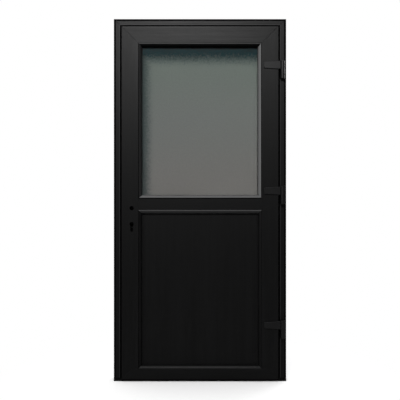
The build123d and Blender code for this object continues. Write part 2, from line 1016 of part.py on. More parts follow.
def bead_section():
    # The visible front rolls from a small lip at the rebate to a thin nose on the glass.
    lip = (bead_joint + bead_lip, bead_front)
    step = (bead_joint + bead_lip + bead_ease, bead_front + bead_step_drop)
    nose = (bead_width, bead_back - bead_nose)
    middle = (bead_width * bead_roll_across, bead_front + (bead_back - bead_front) * bead_roll_deep)
    foot_front, foot_back = slot_front + foot_clearance, slot_back - foot_clearance
    outline = Polyline(nose, (bead_width, bead_back), (bead_joint, bead_back), (bead_joint, foot_back))
    outline += Polyline(
        (bead_joint, foot_back),
        (-bead_slot_depth + foot_clearance * 2, foot_back),
        (-bead_slot_depth + foot_clearance * 2, foot_front),
        (bead_joint, foot_front),
        (bead_joint, bead_front + bead_ease),
        (bead_joint + bead_ease, bead_front),
        lip,
        step,
    )
    outline += ThreePointArc(step, middle, nose)
    section = make_face(outline)
    wall = bead_wall
    section -= area(
        [
            (bead_joint + wall, bead_front + wall + bead_wall_extra),
            (bead_joint + bead_lip + wall, bead_front + wall + bead_wall_extra),
            (middle[0] - wall * 1.4, middle[1] + wall * 1.2),
            (bead_width - wall - bead_wall_extra, bead_back - bead_nose),
            (bead_width - wall - bead_wall_extra, bead_back - wall),
            (bead_joint + wall, bead_back - wall),
        ]
    )
    return section


def beads(field):
    # Four mitred beads, each a piece of its own.
    bottom, top = field
    section = bead_section()
    planes = side_planes(rebate_half, bottom, top)
    low, high = -bead_slot_depth, bead_width + 1
    upright = bar(section, top - bottom, low, high)
    level = bar(section, 2 * rebate_half, low, high)
    return {
        "left": placed(planes["left"], upright),
        "right": placed(planes["right"], upright),
        "top": placed(planes["top"], level),
        "bottom": placed(planes["bottom"], level),
    }


def slab(field, y0, y1, inset):
    bottom, top = field
    half = rebate_half - inset
    return block(-half, half, y0, y1, bottom + inset, top - inset)


def glass_spacer():
    inset = edge_clearance + seal_inset
    y0, y1 = unit_front + pane_thickness, unit_back - pane_thickness
    bottom, top = upper_field
    section = window(0, spacer_height, y0, y1)
    wall = spacer_wall
    section -= window(wall, spacer_height - wall, y0 + wall, y1 - wall)
    slit = (y0 + y1) / 2
    section -= window(spacer_height - wall, spacer_height, slit - 0.6, slit + 0.6)
    half = rebate_half - inset
    return ring(section, half, bottom + inset, top - inset, 0, spacer_height + 1)


def edge_seal():
    y0, y1 = unit_front + pane_thickness, unit_back - pane_thickness
    bottom, top = upper_field
    section = window(0, seal_inset, y0, y1)
    inset = edge_clearance
    half = rebate_half - inset
    return ring(section, half, bottom + inset, top - inset, 0, seal_inset + 1)


def glazing_seal(field, y0, y1):
    bottom, top = field
    section = window(bead_width - seal_width, bead_width + seal_lip, y0, y1)
    return ring(section, rebate_half, bottom, top, bead_width - seal_width - 1, bead_width + 2)


def setting_blocks():
    solids = []
    for bottom, top in (upper_field, lower_field):
        for way in (-1, 1):
            near = way * (rebate_half - block_inset)
            far = near - way * block_length
            solids.append(block(near, far, unit_front, unit_back, bottom, bottom + edge_clearance))
    return solids


# Lock


def faceplate():
    y0, y1 = groove_middle - plate_width / 2, groove_middle + plate_width / 2
    x0 = lock_edge + flange_reach
    solid = block(x0, x0 + plate_thickness, y0, y1, plate_bottom, plate_top)
    corners = solid.edges().filter_by(Axis.X)
    solid = fillet(corners, plate_width / 2 - 0.5)
    room = slide_clearance
    for z, tall, deep in (
        (latch_middle, latch_height, latch_thickness),
        (bolt_middle, bolt_height, bolt_thickness()),
    ):
        solid -= block(
            x0 - 1,
            x0 + plate_thickness + 1,
            groove_middle - deep / 2 - room,
            groove_middle + deep / 2 + room,
            z - tall / 2 - room,
            z + tall / 2 + room,
        )
    for z in (upper_hook_height, lower_hook_height):
        solid -= hook_slot(z, x0 - 1, x0 + plate_thickness + 1)
    return solid - plate_screw_cuts()


def bolt_thickness():
    return latch_thickness - bolt_thinner


def hook_slot(z, x0, x1):
    # The slot that the turning hook needs in a wall between two depths.
    room = pocket_clearance
    half = hook_thickness / 2 + room / 2
    down = hook_sweep(x1)
    return block(
        x0,
        x1,
        groove_middle - half,
        groove_middle + half,
        z - down - room,
        z + hook_claw + room,
    )


def lock_case():
    half = case_thickness / 2 - case_wall
    inner = block(
        lock_edge + case_front + case_wall,
        lock_edge + spindle_depth + case_behind - case_wall,
        groove_middle - half,
        groove_middle + half,
        cylinder_height - case_below + case_wall,
        spindle_height + case_above - case_wall,
    )
    solid = case_space(0.0) - inner
    x = lock_edge + spindle_depth
    y0, y1 = groove_middle - case_thickness / 2 - 1, groove_middle + case_thickness / 2 + 1
    solid -= rod_along_y(x, spindle_height, hub_radius + hub_bearing, y0, y1)
    solid -= along_y(key_shape(cylinder_radius, cylinder_slot, cylinder_drop), x, cylinder_height, y0, y1)
    room = slide_clearance
    for z, tall, deep in (
        (latch_middle, latch_height, latch_thickness),
        (bolt_middle, bolt_height, bolt_thickness()),
    ):
        solid -= block(
            lock_edge + case_front - 1,
            lock_edge + case_front + case_wall + 1,
            groove_middle - deep / 2 - room,
            groove_middle + deep / 2 + room,
            z - tall / 2 - room,
            z + tall / 2 + room,
        )
    return solid


def latch_bolt():
    # Drawn back, with its bevel towards the outside of the house.
    x0 = lock_edge + flange_reach + bolt_flush
    x1 = x0 + latch_length
    y0, y1 = groove_middle - latch_thickness / 2, groove_middle + latch_thickness / 2
    z0, z1 = latch_middle - latch_height / 2, latch_middle + latch_height / 2
    solid = block(x0, x1, y0, y1, z0, z1)
    plane = Plane(origin=(0, 0, z0 - 1))
    lip = y0 + latch_lip
    bevel = area([(x0 - 1, lip), (x0, lip), (x0 + latch_thickness, y1 + 1), (x0 - 1, y1 + 1)])
    solid -= extrude(plane * bevel, amount=latch_height + 2)
    tail_low = spindle_height + hub_radius + latch_tail_gap
    tail_high = latch_middle + latch_height / 2 - latch_tail_step
    tail_end = lock_edge + spindle_depth + case_behind - case_wall - latch_tail_end
    thinner = latch_tail_thinner
    return solid + block(x1, tail_end, y0 + thinner, y1 - thinner, tail_low, tail_high)


def dead_bolt():
    x0 = lock_edge + flange_reach + bolt_flush
    x1 = x0 + bolt_length
    half = bolt_thickness() / 2
    solid = block(
        x0,
        x1,
        groove_middle - half,
        groove_middle + half,
        bolt_middle - bolt_height / 2,
        bolt_middle + bolt_height / 2,
    )
    front = solid.faces().sort_by(Axis.X)[0]
    return chamfer(front.edges(), bolt_ease)


def follower():
    half = case_thickness / 2
    x = lock_edge + spindle_depth
    y0, y1 = groove_middle - half, groove_middle + half
    solid = rod_along_y(x, spindle_height, hub_radius, y0, y1)
    arm = follower_arm_half
    high = spindle_height + hub_radius + follower_arm_rise
    solid += block(x - arm, x + arm, groove_middle - arm, groove_middle + arm, spindle_height, high)
    square = Rectangle(spindle_square + square_clearance, spindle_square + square_clearance)
    solid -= along_y(square, x, spindle_height, y0 - 1, y1 + 1)
    return solid


def rods():
    x0 = lock_edge + plate_back + slide_clearance
    x1 = x0 + rod_thickness
    half = rod_width / 2
    y0, y1 = groove_middle - half, groove_middle + half
    upper_low = latch_middle + latch_height / 2 + rod_gap
    upper_high = upper_hook_height - hook_sweep(x1) - rod_travel - rod_gap
    lower_high = bolt_middle - bolt_height / 2 - rod_gap
    lower_low = lower_hook_height + hook_claw + rod_travel + rod_gap
    upper = block(x0, x1, y0, y1, upper_low, upper_high)
    lower = block(x0, x1, y0, y1, lower_low, lower_high)
    upper = upper - rod_slots(upper_low, upper_high, 1)
    lower = lower - rod_slots(lower_low, lower_high, -1)
    return upper, lower


def rod_slots(low, high, way):
    # Long slots let the rod slide past the faceplate screws.
    cuts = None
    half = screw_radius + rod_slot_room
    x0 = lock_edge + plate_back - 1
    x1 = x0 + rod_thickness + 3
    for z in plate_screw_heights():
        if low < z < high:
            down = rod_travel if way > 0 else 0.0
            up = 0.0 if way > 0 else rod_travel
            low_end, high_end = z - down - rod_slot_end, z + up + rod_slot_end
            cut = block(x0, x1, groove_middle - half, groove_middle + half, low_end, high_end)
            cuts = cut if cuts is None else cuts + cut
    return cuts


def hook_shape():
    # Stowed, with the arm down and the claw towards the faceplate, drawn with y up.
    half = hook_arm / 2
    low = -hook_reach
    outline = area(
        [
            (-half, 0),
            (-half, low + hook_claw_height),
            (-hook_claw, low + hook_claw_height + claw_slope),
            (-hook_claw, low + claw_nose),
            (-hook_claw + claw_ease, low),
            (half - claw_ease, low),
            (half, low + heel_ease),
            (half, 0),
        ]
    )
    return outline + Circle(hook_boss_radius) - Circle(hook_pivot_radius + pin_bearing)


def hook(z):
    half = hook_thickness / 2
    return along_y(hook_shape(), hook_x, z, groove_middle - half, groove_middle + half)


def hook_box(z):
    half = case_thickness / 2 - case_wall
    inner = block(
        lock_edge + case_front + case_wall,
        hook_x + hook_box_behind - case_wall,
        groove_middle - half,
        groove_middle + half,
        z - hook_box_half + case_wall,
        z + hook_box_half - case_wall,
    )
    solid = hook_box_space(z, 0.0) - inner
    solid -= hook_slot(z, lock_edge + case_front - 1, lock_edge + case_front + case_wall + 1)
    y0, y1 = groove_middle - case_thickness / 2, groove_middle + case_thickness / 2
    return solid + rod_along_y(hook_x, z, hook_pivot_radius, y0, y1)


def plate_screws():
    return [at_plate(screw(plate_screw_length), z) for z in plate_screw_heights()]


def keeps():
    spans = keep_spans()
    y0, y1 = groove_middle - keep_width / 2, groove_middle + keep_width / 2
    x0, x1 = keep_x, keep_x + keep_thickness
    room = pocket_clearance
    result = {}
    for name, (low, high) in spans.items():
        solid = block(x0, x1, y0, y1, low, high)
        solid = fillet(solid.edges().filter_by(Axis.X), keep_corner)
        if name == "keep_main":
            for z, tall, deep in (
                (latch_middle, latch_height, latch_thickness),
                (bolt_middle, bolt_height, bolt_thickness()),
            ):
                solid -= block(
                    x0 - 1,
                    x1 + 1,
                    groove_middle - deep / 2 - room,
                    groove_middle + deep / 2 + room,
                    z - tall / 2 - room,
                    z + tall / 2 + room,
                )
        else:
            z = upper_hook_height if name == "keep_upper" else lower_hook_height
            half = hook_thickness / 2 + room
            solid -= block(
                x0 - 1,
                x1 + 1,
                groove_middle - half,
                groove_middle + half,
                z - hook_sweep(x1) - room,
                z + hook_claw + room,
            )
        solid -= keep_screw_cuts()
        result[name] = solid
    return result


def keep_screws():
    return [at_keep(screw(keep_screw_length), z) for z in keep_screw_heights()]


# Hinges


def hinge_levels(centre):
    # The hinge's bottom, where its two halves meet, and its top.
    bottom, top = centre - hinge_height / 2, centre + hinge_height / 2
    return bottom, top - flag_height, top


def hinge_base(centre):
    bottom, meet, top = hinge_levels(centre)
    half = frame_face / 2
    bore = pin_radius + press_clearance
    low_top = meet - bush_flange
    solid = rod_along_z(hinge_x, hinge_y, barrel_radius, bottom, low_top)
    solid += block(
        hinge_x - barrel_radius, hinge_x + barrel_radius, hinge_y, frame_front, bottom, low_top
    )
    plate = block(hinge_x - half, hinge_x + half, frame_front - base_thickness, frame_front, bottom, top)
    front_edges = plate.edges().filter_by(Axis.Z).sort_by(Axis.Y)[:2]
    solid += fillet(front_edges, edge_round)
    solid -= rod_along_z(hinge_x, hinge_y, bore, bottom - 1, low_top + 1)
    for z in (centre - hinge_height / 2 + spigot_inset, centre + hinge_height / 2 - spigot_inset):
        solid += rod_along_y(hinge_x, z, spigot_radius, frame_front, frame_front + spigot_length)
    return solid


def hinge_pin(centre):
    bottom, meet, top = hinge_levels(centre)
    return rod_along_z(hinge_x, hinge_y, pin_radius, bottom + cap_plug, top - cap_plug - 1)


def hinge_bush(centre):
    bottom, meet, top = hinge_levels(centre)
    outer = pin_radius + bush_wall
    solid = rod_along_z(hinge_x, hinge_y, outer, meet, top - cap_plug)
    solid += rod_along_z(hinge_x, hinge_y, barrel_radius - 1.0, meet - bush_flange + 0.05, meet)
    return solid - rod_along_z(
        hinge_x, hinge_y, pin_radius + pin_bearing, meet - bush_flange - 1, top
    )


def flag_outline(inset, reach_end):
    # The tapering flag, drawn from the hinge's axis with y up.
    far = -flag_reach + inset
    tall, tip = flag_height / 2 - inset, flag_tip_height / 2 - inset
    near = reach_end
    slope = (tall - tip) / (flag_reach - barrel_radius)
    lift = tall - slope * max(-near - barrel_radius, 0.0)
    return area([(near, -lift), (far, -tip), (far, tip), (near, lift)])


def hinge_flag(centre):
    bottom, meet, top = hinge_levels(centre)
    middle = flag_middle(centre)
    outline = flag_outline(cover_wall + cover_fit, -2.0)
    corners = [v for v in outline.vertices() if v.X < -flag_reach / 2]
    outline = fillet(corners, flag_corner)
    leaf = along_y(outline, hinge_x, middle, sash_front - leaf_thickness, sash_front)
    knuckle = rod_along_z(hinge_x, hinge_y, barrel_radius, meet, top)
    solid = knuckle + leaf
    solid -= rod_along_z(hinge_x, hinge_y, pin_radius + bush_wall + press_clearance, meet - 1, top + 1)
    for x, up in flag_screw_places():
        solid -= at_flag(screw_hole(flag_screw_length), x, middle + up)
    return solid


def hinge_cover(centre):
    middle = flag_middle(centre)
    end = -barrel_radius - cover_fit
    outline = flag_outline(0.0, end)
    corners = [v for v in outline.vertices() if v.X < -flag_reach / 2]
    outline = fillet(corners, cover_corner)
    solid = along_y(outline, hinge_x, middle, sash_front - cover_thickness, sash_front)
    rim = solid.faces().sort_by(Axis.Y)[0].edges()
    solid = fillet(rim, cover_ease)
    room = flag_outline(cover_wall, end + 1.0)
    return solid - along_y(
        room, hinge_x, middle, sash_front - cover_thickness + cover_wall, sash_front + 1
    )


def hinge_cap(centre, upper):
    bottom, meet, top = hinge_levels(centre)
    if upper:
        bore = pin_radius + bush_wall
        solid = rod_along_z(hinge_x, hinge_y, bore, top - cap_plug, top)
        disc = rod_along_z(hinge_x, hinge_y, barrel_radius, top, top + cap_height)
        rim = disc.edges().sort_by(Axis.Z)[-1]
    else:
        solid = rod_along_z(hinge_x, hinge_y, pin_radius, bottom, bottom + cap_plug)
        disc = rod_along_z(hinge_x, hinge_y, barrel_radius, bottom - cap_height, bottom)
        rim = disc.edges().sort_by(Axis.Z)[0]
    return solid + fillet(rim, cap_height * cap_ease)


def flag_screws():
    return [
        at_flag(screw(flag_screw_length), x, flag_middle(centre) + up)
        for centre in hinge_centres
        for x, up in flag_screw_places()
    ]


def build():
    nodes = {
        "outer_frame": outer_frame(),
        "threshold": threshold(),
        "threshold_screws": threshold_screws(),
        "jamb_connectors": jamb_connectors(),
        "frame_reinforcement": frame_reinforcement(),
        "frame_seal": frame_seal(),
        "keep_screws": keep_screws(),
        "sash_frame": sash_frame(),
        "sash_reinforcement": sash_reinforcement(),
        "sash_seal": sash_seal(),
        "brush_seal": brush_seal(),
        "transom": transom(),
        "transom_reinforcement": transom_reinforcement(),
        "transom_connectors": transom_connectors(),
        "pane_front": slab(upper_field, unit_front, unit_front + pane_thickness, edge_clearance),
        "pane_back": slab(upper_field, unit_back - pane_thickness, unit_back, edge_clearance),
        "glass_spacer": glass_spacer(),
        "edge_seal": edge_seal(),
        "panel_skin_front": slab(lower_field, unit_front, unit_front + panel_skin, edge_clearance),
        "panel_skin_back": slab(lower_field, unit_back - panel_skin, unit_back, edge_clearance),
        "panel_core": slab(lower_field, unit_front + panel_skin, unit_back - panel_skin, edge_clearance),
        "glass_seal_front": glazing_seal(upper_field, bead_back, unit_front),
        "glass_seal_back": glazing_seal(upper_field, unit_back, leg_front),
        "panel_seal_front": glazing_seal(lower_field, bead_back, unit_front),
        "panel_seal_back": glazing_seal(lower_field, unit_back, leg_front),
        "setting_blocks": setting_blocks(),
        "faceplate": faceplate(),
        "plate_screws": plate_screws(),
        "lock_case": lock_case(),
        "latch_bolt": latch_bolt(),
        "dead_bolt": dead_bolt(),
        "follower": follower(),
        "hook_boxes": [hook_box(upper_hook_height), hook_box(lower_hook_height)],
        "hook_upper": hook(upper_hook_height),
        "hook_lower": hook(lower_hook_height),
        "hinge_pins": [hinge_pin(z) for z in hinge_centres],
        "hinge_bushes": [hinge_bush(z) for z in hinge_centres],
        "hinge_covers": [hinge_cover(z) for z in hinge_centres],
        "hinge_caps_upper": [hinge_cap(z, True) for z in hinge_centres],
        "hinge_caps_lower": [hinge_cap(z, False) for z in hinge_centres],
        "flag_screws": flag_screws(),
    }
    nodes["drive_rod_upper"], nodes["drive_rod_lower"] = rods()
    keep_pieces = keeps()
    nodes["keep_main"] = keep_pieces["keep_main"]
    nodes["hook_keeps"] = [keep_pieces["keep_upper"], keep_pieces["keep_lower"]]
    for name, solid in beads(upper_field).items():
        nodes["glass_bead_" + name] = solid
    for name, solid in beads(lower_field).items():
        nodes["panel_bead_" + name] = solid
    for name, centre in zip(("top", "middle", "bottom"), hinge_centres):
        nodes["hinge_base_" + name] = hinge_base(centre)
        nodes["hinge_flag_" + name] = hinge_flag(centre)
    return nodes


for node_name, piece in build().items():
    shape = Compound(children=piece) if isinstance(piece, list) else piece
    export_step(shape, f"parts/{node_name}.step")
    print(node_name)
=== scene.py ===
import math
import bpy
import numpy as np
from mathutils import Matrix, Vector


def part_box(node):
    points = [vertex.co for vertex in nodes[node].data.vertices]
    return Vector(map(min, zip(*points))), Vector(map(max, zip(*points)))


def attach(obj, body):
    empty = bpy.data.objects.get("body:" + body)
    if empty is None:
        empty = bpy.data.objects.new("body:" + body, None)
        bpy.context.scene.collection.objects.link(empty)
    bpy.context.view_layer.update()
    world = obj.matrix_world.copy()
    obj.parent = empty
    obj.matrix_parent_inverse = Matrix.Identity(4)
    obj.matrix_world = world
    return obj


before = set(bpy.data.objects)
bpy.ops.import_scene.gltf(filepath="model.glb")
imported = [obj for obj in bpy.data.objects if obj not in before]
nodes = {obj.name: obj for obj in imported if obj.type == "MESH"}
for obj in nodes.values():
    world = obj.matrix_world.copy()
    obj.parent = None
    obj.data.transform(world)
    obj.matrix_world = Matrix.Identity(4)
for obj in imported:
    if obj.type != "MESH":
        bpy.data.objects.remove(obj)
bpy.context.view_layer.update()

print("door loaded:", len(nodes), "nodes")


class Wire:
    # One output socket. Sums, differences, products and powers on it add Math nodes.
    def __init__(self, socket):
        self.socket = socket

    @staticmethod
    def make(tree, kind, settings=None, sockets=None, output=0):
        # Adds a node of any kind: its settings first, then the values or links of its sockets.
        node = tree.nodes.new(kind)
        for key, value in (settings or {}).items():
            setattr(node, key, value)
        for key, value in (sockets or {}).items():
            socket = node.inputs[key]
            if isinstance(value, Wire):
                tree.links.new(value.socket, socket)
            elif socket.type == "RGBA":
                socket.default_value = (*value, 1.0)
            else:
                socket.default_value = value
        return Wire(node.outputs[output])

    def math(self, operation, first, second):
        tree = self.socket.id_data
        return Wire.make(tree, "ShaderNodeMath", {"operation": operation}, {0: first, 1: second})

    def __add__(self, other):
        return self.math("ADD", self, other)

    def __radd__(self, other):
        return self.math("ADD", other, self)

    def __sub__(self, other):
        return self.math("SUBTRACT", self, other)

    def __rsub__(self, other):
        return self.math("SUBTRACT", other, self)

    def __mul__(self, other):
        return self.math("MULTIPLY", self, other)

    def __rmul__(self, other):
        return self.math("MULTIPLY", other, self)

    def __pow__(self, other):
        return self.math("POWER", self, other)

    def __gt__(self, other):
        return self.math("GREATER_THAN", self, other)

    def least(self, other):
        return self.math("MINIMUM", self, other)

    def most(self, other):
        return self.math("MAXIMUM", self, other)

    def size(self):
        return self.math("ABSOLUTE", self, 0.0)

    def ramp(self, low, high, start=0.0, end=1.0):
        # start below low, end above high, and an S curve between them.
        return Wire.make(
            self.socket.id_data,
            "ShaderNodeMapRange",
            {"interpolation_type": "SMOOTHSTEP"},
            {"Value": self, "From Min": low, "From Max": high, "To Min": start, "To Max": end},
        )


def startMaterial(name):
    # An empty material with its node tree, and the piece's own place in metres.
    material = bpy.data.materials.new(name)
    material.use_nodes = True
    tree = material.node_tree
    tree.nodes.clear()
    return material, tree, Wire.make(tree, "ShaderNodeTexCoord", output="Object")


def axes(place):
    # The x, y and z of a place.
    node = Wire.make(place.socket.id_data, "ShaderNodeSeparateXYZ", None, {0: place}).socket.node
    return [Wire(output) for output in node.outputs]


def joinOutput(tree, shader, kind="ShaderNodeOutputMaterial"):
    output = tree.nodes.new(kind)
    tree.links.new(shader.socket, output.inputs["Surface"])


# The matt black that paints shade in recesses, joints and the rims of holes.
paintedShadeBlack = {"Base Color": (0.0008, 0.0008, 0.0009), "Roughness": 0.9, "Specular IOR Level": 0.02}


def endMaterial(tree, sockets, black=None):
    # The principled shader with those sockets, joined to the output. black is where
    # it gives way to a matt black one, which paints shade.
    shader = Wire.make(tree, "ShaderNodeBsdfPrincipled", None, sockets)
    if black is not None:
        matt = Wire.make(tree, "ShaderNodeBsdfPrincipled", None, paintedShadeBlack)
        shader = Wire.make(tree, "ShaderNodeMixShader", None, {0: black, 1: shader, 2: matt})
    joinOutput(tree, shader)


def noise(tree, place, scale=1.0, detail=3.0, rough=0.5, bend=0.0):
    return Wire.make(
        tree,
        "ShaderNodeTexNoise",
        {"noise_dimensions": "3D"},
        {"Vector": place, "Scale": scale, "Detail": detail, "Roughness": rough, "Distortion": bend},
    )


def streaks(tree, ways, counts, **how):
    # Noise drawn out: each of the three ways is first multiplied by its count per metre.
    first, second, third = (way * count for way, count in zip(ways, counts))
    place = Wire.make(tree, "ShaderNodeCombineXYZ", None, {0: first, 1: second, 2: third})
    return noise(tree, place, **how)


def mixColour(tree, factor, low, high):
    return Wire.make(
        tree, "ShaderNodeMix", {"data_type": "RGBA"}, {"Factor": factor, 6: low, 7: high}, output=2
    )


def bump(tree, height, distance, strength):
    return Wire.make(
        tree, "ShaderNodeBump", None, {"Height": height, "Distance": distance, "Strength": strength}
    )


def between(pair, factor):
    # a + (b - a) t: the first number at 0 and the second at 1.
    return pair[0] + (pair[1] - pair[0]) * factor


def blend(first, second, share):
    # A share of the first, and the rest of the second.
    return first * share + second * (1.0 - share)


foilLook = {
    "dark": (0.0010, 0.0010, 0.0011),
    "light": (0.0040, 0.0040, 0.0042),
    "lit": (0.085, 0.085, 0.086),       # painted highlight, where a lip catches the light
    "fine": (420.0, 420.0, 9.0),        # streaks per metre across, into and along the grain
    "broad": (38.0, 38.0, 0.9),         # the slow change of tone across a board
    "pores": (798.0, 798.0, 63.0),
    "fineTone": (0.30, 0.72),           # where in its noise each one starts and is full
    "broadTone": (0.25, 0.75),
    "poreTone": (0.60, 0.74),
    "fineShare": 0.55,                  # of the tone: the rest is broad
    "poreDepth": 0.5,                   # how much tone a pore takes away
    "toneInGloss": 0.6,                 # how much smoother a light streak is
    "heights": (0.6, 0.2, 0.8),         # of fine and broad streaks, and the depth of pores
    "relief": 0.00025,
    "roughness": (0.34, 0.50),
    "specular": 0.23,
    "edge": 0.0004,                     # the soft edge of a band
    "rim": 0.0008,                      # half the soft edge of a hole
}


def foilFinish(name, grain, field=None, bands=(), holes=(), look=foilLook):
    # Wood-grain foil: noise drawn out along the profile. field is the half width, foot and
    # head of a frame. Where it is mitred the grain turns at the corner, where the way in
    # from the side is the way in from the end.
    # bands are strips of painted shade and painted highlight at a distance from the field's
    # edge, from and to in metres, with how much of the foil's own tone is left there and how
    # much of the lit tone is added. holes are slots with a rim of painted shade: x, the lower
    # and upper z of their middle, and radius.
    material, tree, place = startMaterial(name)
    x, y, z = axes(place)
    across, along = (z, x) if grain == "level" else (x, z)
    if field:
        side, foot, head = field
        fromSide, fromEnd = side - x.size(), (head - z).least(z - foot)
        inward = fromSide.least(fromEnd)
        if grain == "mitred":
            turned = (fromSide - fromEnd) > 0.0
            across = x + turned * (z - x)
            along = z + turned * (x - z)
    kept, lit = 1.0, 0.0
    for near, far, left, gain in bands:
        starts = inward.ramp(near - look["edge"], near)
        strip = starts * inward.ramp(far, far + look["edge"], 1.0, 0.0)
        kept = kept * (1.0 - strip * (1.0 - left))
        lit = lit + strip * gain
    for middle, low, high, radius in holes:
        rise = ((z - (low + high) / 2).size() - (high - low) / 2).most(0.0)
        away = ((x - middle) ** 2.0 + rise * rise) ** 0.5
        kept = kept * away.ramp(radius - look["rim"], radius + look["rim"])
    ways = (across, y, along)
    fine = streaks(tree, ways, look["fine"], detail=5.0, rough=0.62, bend=0.25)
    broad = streaks(tree, ways, look["broad"], detail=3.0, bend=0.6)
    pores = streaks(tree, ways, look["pores"], detail=2.0).ramp(*look["poreTone"])
    tone = blend(fine.ramp(*look["fineTone"]), broad.ramp(*look["broadTone"]), look["fineShare"])
    colour = mixColour(tree, tone * (1.0 - pores * look["poreDepth"]), look["dark"], look["light"])
    if bands:
        colour = mixColour(tree, lit, colour, look["lit"])
    fineHeight, broadHeight, poreHeight = look["heights"]
    height = fine * fineHeight + broad * broadHeight - pores * poreHeight
    endMaterial(
        tree,
        {
            "Base Color": colour,
            "Roughness": between(look["roughness"], 1.0 - tone * look["toneInGloss"]),
            "Specular IOR Level": look["specular"],
            "Normal": bump(tree, height, look["relief"], strength=0.5),
        },
        1.0 - kept if bands or holes else None,
    )
    return material


coatLook = {
    "dark": (0.0030, 0.0030, 0.0032),
    "light": (0.0062, 0.0062, 0.0065),
    "grains": 900.0,                    # per metre
    "clouds": 24.0,
    "grainShare": 0.6,
    "relief": 0.00012,
    "roughness": (0.36, 0.46),
    "specular": 0.30,
}


def coatFinish(name, look=coatLook):
    # Satin powder coat: a fine even orange-peel.
    material, tree, place = startMaterial(name)
    peel = noise(tree, place, look["grains"], detail=2.0)
    cloud = noise(tree, place, look["clouds"], detail=3.0)
    tone = blend(peel, cloud, look["grainShare"])
    endMaterial(
        tree,
        {
            "Base Color": mixColour(tree, tone, look["dark"], look["light"]),
            "Roughness": between(look["roughness"], cloud),
            "Specular IOR Level": look["specular"],
            "Normal": bump(tree, peel, look["relief"], strength=0.5),
        },
    )
    return material


obscureLook = {
    "low": (0.180, 0.168, 0.164),       # tint at the foot of the glass
    "middle": (0.166, 0.170, 0.165),
    "top": (0.147, 0.168, 0.153),
    # the colour of the painted shade along the top and the left
    "edge": (0.0035, 0.0200, 0.0240),
    "lowTurn": (0.0, 0.55),             # shares of the height where the tints change over
    "topTurn": (0.45, 0.95),
    "topShade": (0.045, 0.135),         # full and none, from the glass's top edge
    "sideShade": (0.018, 0.085),
    "sideDepth": 0.74,
    "stipple": 300.0,                   # stipples, swirls and pebbles per metre
    "swirl": 42.0,
    "pebble": 95.0,
    "wander": (0.030, 0.070),           # metres that swirl and pebble move the shade's edge
    "mottle": (0.35, 0.55),             # how much stipple and pebble darken the tint
    "stippleMiddle": 0.3,
    "mottleShare": 0.5,
    "heights": (0.7, 0.5),              # of stipple and swirl
    "relief": 0.0009,
    "roughness": (0.42, 0.58),
    "bending": 1.22,                    # index of refraction
    "specular": 0.30,
}


def obscureFinish(name, pane, look=obscureLook):
    # Cast patterned glass: close stipples with a slow swirl, green towards the top, and
    # painted shade along the top and the left, where the frame's dark edge would show in it.
    material, tree, place = startMaterial(name)
    x, _, z = axes(place)
    left, foot, head = pane[0][0], pane[0][2], pane[1][2]
    cells = Wire.make(
        tree,
        "ShaderNodeTexVoronoi",
        {"feature": "SMOOTH_F1"},
        {"Vector": place, "Scale": look["stipple"], "Smoothness": 0.6},
        output="Distance",
    )
    swirl = noise(tree, place, look["swirl"], detail=3.0, bend=1.2)
    pebble = noise(tree, place, look["pebble"], detail=2.0)
    level = (z - foot) * (1.0 / (head - foot))
    lower = mixColour(tree, level.ramp(*look["lowTurn"]), look["low"], look["middle"])
    tint = mixColour(tree, level.ramp(*look["topTurn"]), lower, look["top"])
    swirlWander, pebbleWander = look["wander"]
    wander = (swirl - 0.5) * swirlWander + (pebble - 0.5) * pebbleWander
    # Painted shade along the glass's top and left edges.
    topShade = (head - z + wander).ramp(*look["topShade"], 1.0, 0.0)
    sideShade = (x - left + wander).ramp(*look["sideShade"], look["sideDepth"], 0.0)
    shaded = mixColour(tree, topShade.most(sideShade), tint, look["edge"])
    cellMottle, pebbleMottle = look["mottle"]
    grain = 1.0 - (cells - look["stippleMiddle"]) * cellMottle - (pebble - 0.5) * pebbleMottle
    grey = Wire.make(tree, "ShaderNodeCombineColor", None, {0: grain, 1: grain, 2: grain})
    mottled = Wire.make(
        tree,
        "ShaderNodeMix",
        {"data_type": "RGBA", "blend_type": "MULTIPLY"},
        {"Factor": look["mottleShare"], 6: shaded, 7: grey},
        output=2,
    )
    cellHeight, swirlHeight = look["heights"]
    height = cells * cellHeight + swirl * swirlHeight
    endMaterial(
        tree,
        {
            "Base Color": mottled,
            "Roughness": between(look["roughness"], swirl),
            "IOR": look["bending"],
            "Specular IOR Level": look["specular"],
            "Transmission Weight": 1.0,
            "Normal": bump(tree, height, look["relief"], strength=0.6),
        },
    )
    return material


clearLook = {
    "dark": (0.90, 0.95, 0.92),
    "light": (0.94, 0.97, 0.95),
    "dust": 60.0,                       # specks per metre
    "roughness": (0.01, 0.05),
    "bending": 1.5,
}


def clearFinish(name, look=clearLook):
    # Clear float glass, with faint dust that breaks its gloss.
    material, tree, place = startMaterial(name)
    dust = noise(tree, place, look["dust"], detail=5.0)
    endMaterial(
        tree,
        {
            "Base Color": mixColour(tree, dust, look["dark"], look["light"]),
            "Roughness": between(look["roughness"], dust),
            "IOR": look["bending"],
            "Transmission Weight": 1.0,
        },
    )
    return material


sealLook = {
    "dark": (0.004, 0.004, 0.004),
    "light": (0.011, 0.011, 0.011),
    "bloom": 90.0,                      # patches and grains per metre
    "grains": 1500.0,
    "relief": 0.00008,
    "roughness": (0.62, 0.80),
    "specular": 0.25,
}


def sealFinish(name, look=sealLook):
    # Matt black rubber with a soft bloom.
    material, tree, place = startMaterial(name)
    bloom = noise(tree, place, look["bloom"], detail=4.0)
    grains = noise(tree, place, look["grains"], detail=1.0)
    endMaterial(
        tree,
        {
            "Base Color": mixColour(tree, bloom, look["dark"], look["light"]),
            "Roughness": between(look["roughness"], bloom),
            "Specular IOR Level": look["specular"],
            "Normal": bump(tree, grains, look["relief"], strength=0.5),
        },
    )
    return material


